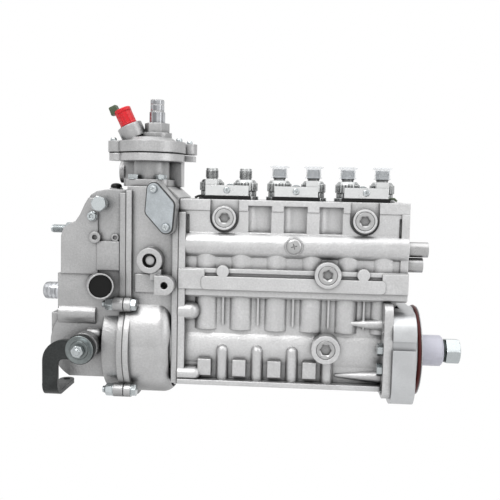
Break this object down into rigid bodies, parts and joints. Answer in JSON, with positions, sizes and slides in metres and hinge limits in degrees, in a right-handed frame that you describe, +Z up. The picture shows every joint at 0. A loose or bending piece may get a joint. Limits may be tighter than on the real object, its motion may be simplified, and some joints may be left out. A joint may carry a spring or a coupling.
{
  "type": "fuel injection pump",
  "caption": "In-line fuel injection pump with cam-driven elements, toothed control rack, flyweight governor, boost compensator and control lever",
  "frame": {"origin": "camshaft axis where it crosses the mounting face of the bearing cover", "axes": "+X along the camshaft out of the drive end, +Z up towards the delivery unions, -Y towards the side shown in the picture"},
  "size_m": [0.4016, 0.126, 0.283],
  "materials": {
    "pump_cast": "satin as-cast alloy",
    "governor_cast": "satin as-cast alloy",
    "cover_cast": "satin as-cast alloy",
    "flange_metal": "machined and cast",
    "zinc": "bright zinc plate",
    "nickel": "bright nickel plate",
    "steel": "ground steel",
    "holder_steel": "phosphated steel",
    "dark_steel": "blackened steel",
    "lever_iron": "dark coated",
    "spring_wire": "spring wire",
    "gasket_fibre": "gasket fibre",
    "seal_rubber": "brown-red seal rubber",
    "black_rubber": "black rubber",
    "black_plastic": "black plastic",
    "cap_plastic": "translucent plastic",
    "sleeve_plastic": "pale plastic",
    "red_plastic": "red plastic"
  },
  "bodies": {
    "housing": {"pump_housing": "pump_cast", "base_cover": "flange_metal", "drive_flange": "flange_metal", "pilot_seal": "seal_rubber", "flange_screws": "zinc", "shaft_seal": "black_rubber", "bearing_rings": "steel", "governor_housing": "governor_cast", "housing_gasket": "gasket_fibre", "governor_cover": "cover_cast", "cover_gasket": "gasket_fibre", "governor_screws": "zinc", "blanking_plate": "zinc", "oil_filler_cap": "black_plastic", "tube_plug": "black_plastic", "vent_screws": "zinc", "full_load_screw": "zinc", "idle_spring_cap": "nickel", "inspection_cover": "flange_metal", "inspection_gasket": "gasket_fibre", "cover_screws": "zinc", "gallery_plugs": "nickel", "rack_guide_screw": "nickel", "rack_cap": "nickel", "delivery_holders": "holder_steel", "holder_clamps": "nickel", "clamp_screws": "zinc", "sealing_strips": "black_rubber", "union_caps": "cap_plastic", "barrels": "steel", "delivery_valves": "steel", "delivery_springs": "spring_wire", "plunger_springs": "spring_wire", "spring_plates": "steel", "tappets": "steel", "governor_spring": "spring_wire", "compensator_body": "governor_cast", "compensator_cover": "cover_cast", "boost_diaphragm": "black_rubber", "boost_spring": "spring_wire", "boost_union": "red_plastic"},
    "camshaft": {"camshaft": "steel", "bearing_rollers": "steel", "drive_nut": "zinc", "taper_sleeve": "sleeve_plastic", "flyweight_carrier": "dark_steel"},
    "flyweight_1": {"flyweight_1": "dark_steel"},
    "flyweight_2": {"flyweight_2": "dark_steel"},
    "governor_sleeve": {"governor_sleeve": "steel"},
    "guide_lever": {"guide_lever": "dark_steel"},
    "control_rack": {"control_rack": "steel"},
    "element_1": {"element_1": "steel"},
    "element_2": {"element_2": "steel"},
    "element_3": {"element_3": "steel"},
    "element_4": {"element_4": "steel"},
    "element_5": {"element_5": "steel"},
    "element_6": {"element_6": "steel"},
    "boost_plunger": {"boost_plunger": "steel"},
    "control_lever": {"control_lever": "lever_iron", "lever_shaft": "zinc"}
  },
  "joints": [
    {"name": "camshaft_spin", "type": "hinge", "parent": "housing", "child": "camshaft", "pos_m": [0, 0, 0], "axis": [1, 0, 0], "continuous": true},
    {"name": "sleeve_slide", "type": "slide", "parent": "housing", "child": "governor_sleeve", "axis": [-1, 0, 0], "range_m": [0, 0.005]},
    {"name": "flyweight_1_swing", "type": "hinge", "parent": "camshaft", "child": "flyweight_1", "pos_m": [-0.2338, 0, 0.018], "axis": [0, 1, 0], "range_deg": [0, 24.01]},
    {"name": "flyweight_2_swing", "type": "hinge", "parent": "camshaft", "child": "flyweight_2", "pos_m": [-0.2338, 0, -0.018], "axis": [0, -1, 0], "range_deg": [0, 24.01]},
    {"name": "guide_lever_swing", "type": "hinge", "parent": "housing", "child": "guide_lever", "pos_m": [-0.2689, 0, -0.032], "axis": [0, -1, 0], "range_deg": [0, 8.96]},
    {"name": "rack_slide", "type": "slide", "parent": "housing", "child": "control_rack", "axis": [-1, 0, 0], "range_m": [0, 0.02017]},
    {"name": "element_1_turn", "type": "hinge", "parent": "housing", "child": "element_1", "pos_m": [-0.1885, 0, 0.097], "axis": [0, 0, -1], "range_deg": [0, 77]},
    {"name": "element_2_turn", "type": "hinge", "parent": "housing", "child": "element_2", "pos_m": [-0.1565, 0, 0.097], "axis": [0, 0, -1], "range_deg": [0, 77]},
    {"name": "element_3_turn", "type": "hinge", "parent": "housing", "child": "element_3", "pos_m": [-0.1245, 0, 0.097], "axis": [0, 0, -1], "range_deg": [0, 77]},
    {"name": "element_4_turn", "type": "hinge", "parent": "housing", "child": "element_4", "pos_m": [-0.0925, 0, 0.097], "axis": [0, 0, -1], "range_deg": [0, 77]},
    {"name": "element_5_turn", "type": "hinge", "parent": "housing", "child": "element_5", "pos_m": [-0.0605, 0, 0.097], "axis": [0, 0, -1], "range_deg": [0, 77]},
    {"name": "element_6_turn", "type": "hinge", "parent": "housing", "child": "element_6", "pos_m": [-0.0285, 0, 0.097], "axis": [0, 0, -1], "range_deg": [0, 77]},
    {"name": "boost_stroke", "type": "slide", "parent": "housing", "child": "boost_plunger", "axis": [0, 0, -1], "range_m": [0, 0.005], "stiffness_N_per_m": 800, "springref_m": -0.001, "deforming": ["boost_spring", "boost_diaphragm"]},
    {"name": "control_lever_swing", "type": "hinge", "parent": "housing", "child": "control_lever", "pos_m": [-0.2973, 0, 0.003], "axis": [0, 1, 0], "range_deg": [0, 40], "stiffness_Nm_per_rad": 0.4, "springref_deg": -17.19, "deforming": ["governor_spring"]}
  ],
  "couplings": [
    {"joint": "flyweight_1_swing", "follows": "sleeve_slide", "rad_per_m": 83.776},
    {"joint": "flyweight_2_swing", "follows": "sleeve_slide", "rad_per_m": 83.776},
    {"joint": "guide_lever_swing", "follows": "sleeve_slide", "rad_per_m": 31.25},
    {"joint": "rack_slide", "follows": "sleeve_slide", "ratio": 4.0312},
    {"joint": "element_1_turn", "follows": "sleeve_slide", "rad_per_m": 268.75},
    {"joint": "element_2_turn", "follows": "sleeve_slide", "rad_per_m": 268.75},
    {"joint": "element_3_turn", "follows": "sleeve_slide", "rad_per_m": 268.75},
    {"joint": "element_4_turn", "follows": "sleeve_slide", "rad_per_m": 268.75},
    {"joint": "element_5_turn", "follows": "sleeve_slide", "rad_per_m": 268.75},
    {"joint": "element_6_turn", "follows": "sleeve_slide", "rad_per_m": 268.75}
  ]
}
